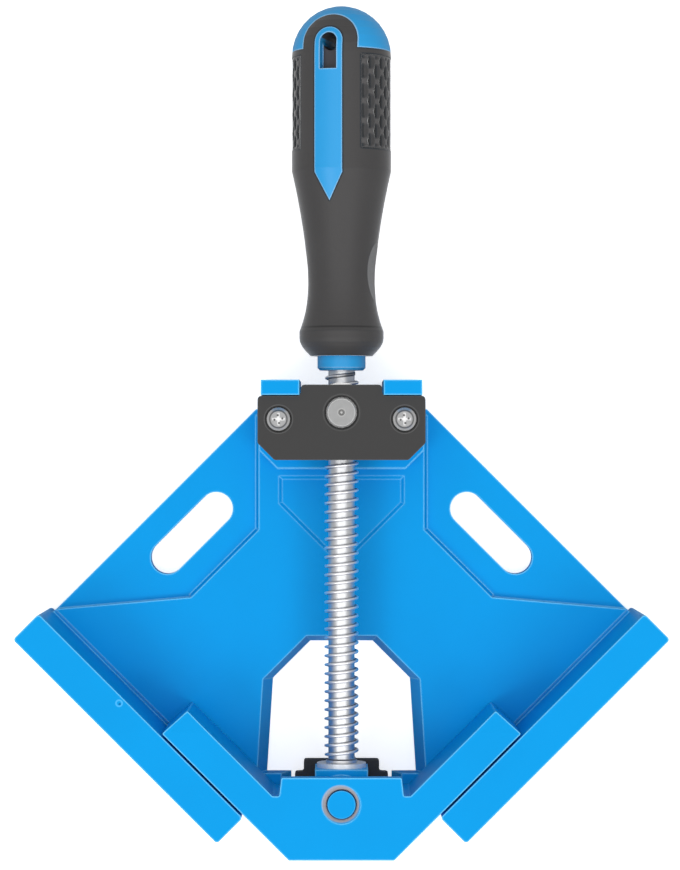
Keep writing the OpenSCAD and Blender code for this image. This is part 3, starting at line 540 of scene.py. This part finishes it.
for side, reach in (("X", 0.0028), ("Y", 0.0061), ("Z", 0.0148)):
    size = hollow_tree.nodes.new("ShaderNodeMath")
    size.operation = "ABSOLUTE"
    within = hollow_tree.nodes.new("ShaderNodeMapRange")
    within.inputs["From Min"].default_value = reach + hollow_fade
    within.inputs["From Max"].default_value = reach
    hollow_tree.links.new(hollow_split.outputs[side], size.inputs[0])
    hollow_tree.links.new(size.outputs["Value"], within.inputs["Value"])
    if hollow_mask is None:
        hollow_mask = within.outputs["Result"]
    else:
        both = hollow_tree.nodes.new("ShaderNodeMath")
        both.operation = "MULTIPLY"
        hollow_tree.links.new(hollow_mask, both.inputs[0])
        hollow_tree.links.new(within.outputs["Result"], both.inputs[1])
        hollow_mask = both.outputs["Value"]
tint(blue_plastic, (0.05, 0.046, 0.053), hollow_mask)
finish_with(node["handle_core"], blue_plastic)

# Handle grip. Soft black rubber moulded over the core, with a waist for the thumb and two sunk panels.
# Each panel carries a net of rounded diamonds so that a wet hand can turn the screw.
along_spindle = (0, 1, 0)
grip_seam = (0, 0.0285, 0)
# Painted shade: the near-black blue along the rubber's edges stands in for the shadow in the gaps round the
# stripe, the panels and the arch.
black_rubber = coated(
    "black_rubber", base=(0.046, 0.044, 0.0445), cloud=(0.055, 0.053, 0.0535), edge_lighting_colour=(0.006, 0.016, 0.026),
    rough=0.52, cloud_scale=60, grain_scale=3200, grain_depth=0.00004, edge_lighting_reach=0.0011, specular=0.35,
    edge_lighting_share=1.0)
tone_and_light(black_rubber, grip_seam, along_spindle, 0.0004, 0.0002, colour=(0.016, 0.016, 0.016), share=0.8)
rubber_skin = black_rubber.node_tree.nodes["Principled BSDF"]
rubber_skin.inputs["Sheen Weight"].default_value = 0.8
rubber_skin.inputs["Sheen Roughness"].default_value = 0.35
finish_with(node["handle_grip"], black_rubber)

net_rubber = black_rubber.copy()
net_rubber.name = "net_rubber"
# Painted shade in the net's dents and a painted highlight on its ridges.
tone_and_light(net_rubber, jaw_axis, round_spindle, 0.01625, 0.01592, colour=(0.012, 0.012, 0.012), share=0.95)
tone_and_light(net_rubber, jaw_axis, round_spindle, 0.01632, 0.01643, colour=(0.105, 0.102, 0.103), share=0.65)
handle_front, panel_from, panel_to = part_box("handle_core")[0].y, 0.0733, 0.1042
panel_low, panel_high = handle_front + panel_from, handle_front + panel_to
panel_half, panel_gap_turn, panel_gap = math.radians(51), 0.006, 0.0001
net_radius, net_floor, net_lower, net_deep = 0.0166, 0.01582, 0.00015, 0.00060
net_columns, net_pitch, net_shift, row_shift = 11, 0.00655, 0.14, 0.5
dent_wide, dent_long, dent_taper, dent_end, dent_wall = 0.78, 0.46, 0.55, 0.43, 0.42
border_along, border_across, border_rise, border_flat = 0.0016, 2.2, 1.6, 0.3
slant_middle, slant_rise, slant_least = 0.5, 1.6, 0.25
across, along = 132, 150


def clipped(value, least=0.0):
    """A value cut off at a least share and at one."""
    return max(least, min(1.0, value))


def dent(u, v):
    """Depth of the net's dent at a place in columns and rows, and how far the place is off its middle."""
    deepest, off_middle = 0.0, 0.0
    for column in (math.floor(u), math.floor(u) + 1, math.floor(u) - 1):
        shifted = v - (row_shift * ((column + 1) % 2) - net_shift)
        du = u - column - 0.5
        dv = abs(shifted - math.floor(shifted) - 0.5)
        depth = 1.0 - max(abs(du) / dent_wide + dv / dent_long * dent_taper, dv / dent_end)
        if depth > deepest:
            deepest, off_middle = depth, du
    return deepest, off_middle


def net_skin(a, y):
    """Radius of the net at a turn from the panel's middle and a place along the handle."""
    u = (a + panel_half) / (2 * panel_half) * net_columns
    depth, off_middle = dent(u, (y - panel_low) / net_pitch)
    border = min(border_across * u, border_across * (net_columns - u),
                 (y - panel_low) / border_along, (panel_high - y) / border_along)
    sunk = clipped(depth / dent_wall)
    sunk = sunk * sunk * (3 - 2 * sunk) * clipped(border * border_rise - border_flat)
    slant = clipped(slant_middle - slant_rise * off_middle, least=slant_least)
    return net_radius - net_lower - net_deep * sunk * slant


def round_handle(radius, turn, y):
    """A point at a radius, a turn from the handle's own side and a place along the handle."""
    x, z = radius * math.cos(turn), radius * math.sin(turn)
    return (x * math.cos(handle_turn) + z * math.sin(handle_turn), y,
            axis_height + x * math.sin(handle_turn) - z * math.cos(handle_turn))


net_turns = [-panel_half + panel_gap_turn + 2 * (panel_half - panel_gap_turn) * i / across
             for i in range(across + 1)]
net_places = [panel_low + panel_gap + (panel_high - panel_low - 2 * panel_gap) * j / along
              for j in range(along + 1)]
for name, mid in (("grip_panel_right", 0.0), ("grip_panel_left", math.pi)):
    net = bmesh.new()
    grid = [[net.verts.new(round_handle(net_skin(a, y), mid + a, y)) for a in net_turns] for y in net_places]
    first, last = [[net.verts.new(round_handle(net_floor, mid + a, y)) for a in net_turns]
                   for y in (net_places[0], net_places[-1])]
    for line, next_line in zip(grid, grid[1:]):
        strip(net, line, next_line)
    for line, next_line in ((first, grid[0]), (grid[-1], last), (last, first)):
        strip(net, line, next_line)
    for i in (0, across):
        net.faces.new([line[i] for line in grid] + [last[i], first[i]])
    panel = meshed(name, net, crease=50)
    finish_with(panel, net_rubber)
    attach(panel, "screw")

# Moving jaw. A V-shaped light alloy casting in the same enamel, cored from below to take the swivel head.
# The mouth of its pivot hole is rubbed down to bare metal.
bare_metal = (0.47, 0.43, 0.425)
rub_aside = Vector((-0.0004, 0.0004, 0))
jaw_enamel = blue_enamel.copy()
jaw_enamel.name = "jaw_enamel"
tone_and_light(jaw_enamel, jaw_axis, round_upright, 0.0062, 0.0055, colour=bare_metal, share=0.75)
tone_and_light(jaw_enamel, jaw_axis + rub_aside, round_upright, 0.0064, 0.0058, colour=bare_metal, share=0.75)
finish_with(node["moving_jaw"], jaw_enamel)

# Keeper plate and its screws. A black pressed plate under the moving jaw that holds the head's trunnion.
# Two small countersunk screws fix it from below.
finish_with(node["jaw_keeper"], black_powder)
for name in ("keeper_screw_left", "keeper_screw_right"):
    finish_with(node[name], screw_zinc)
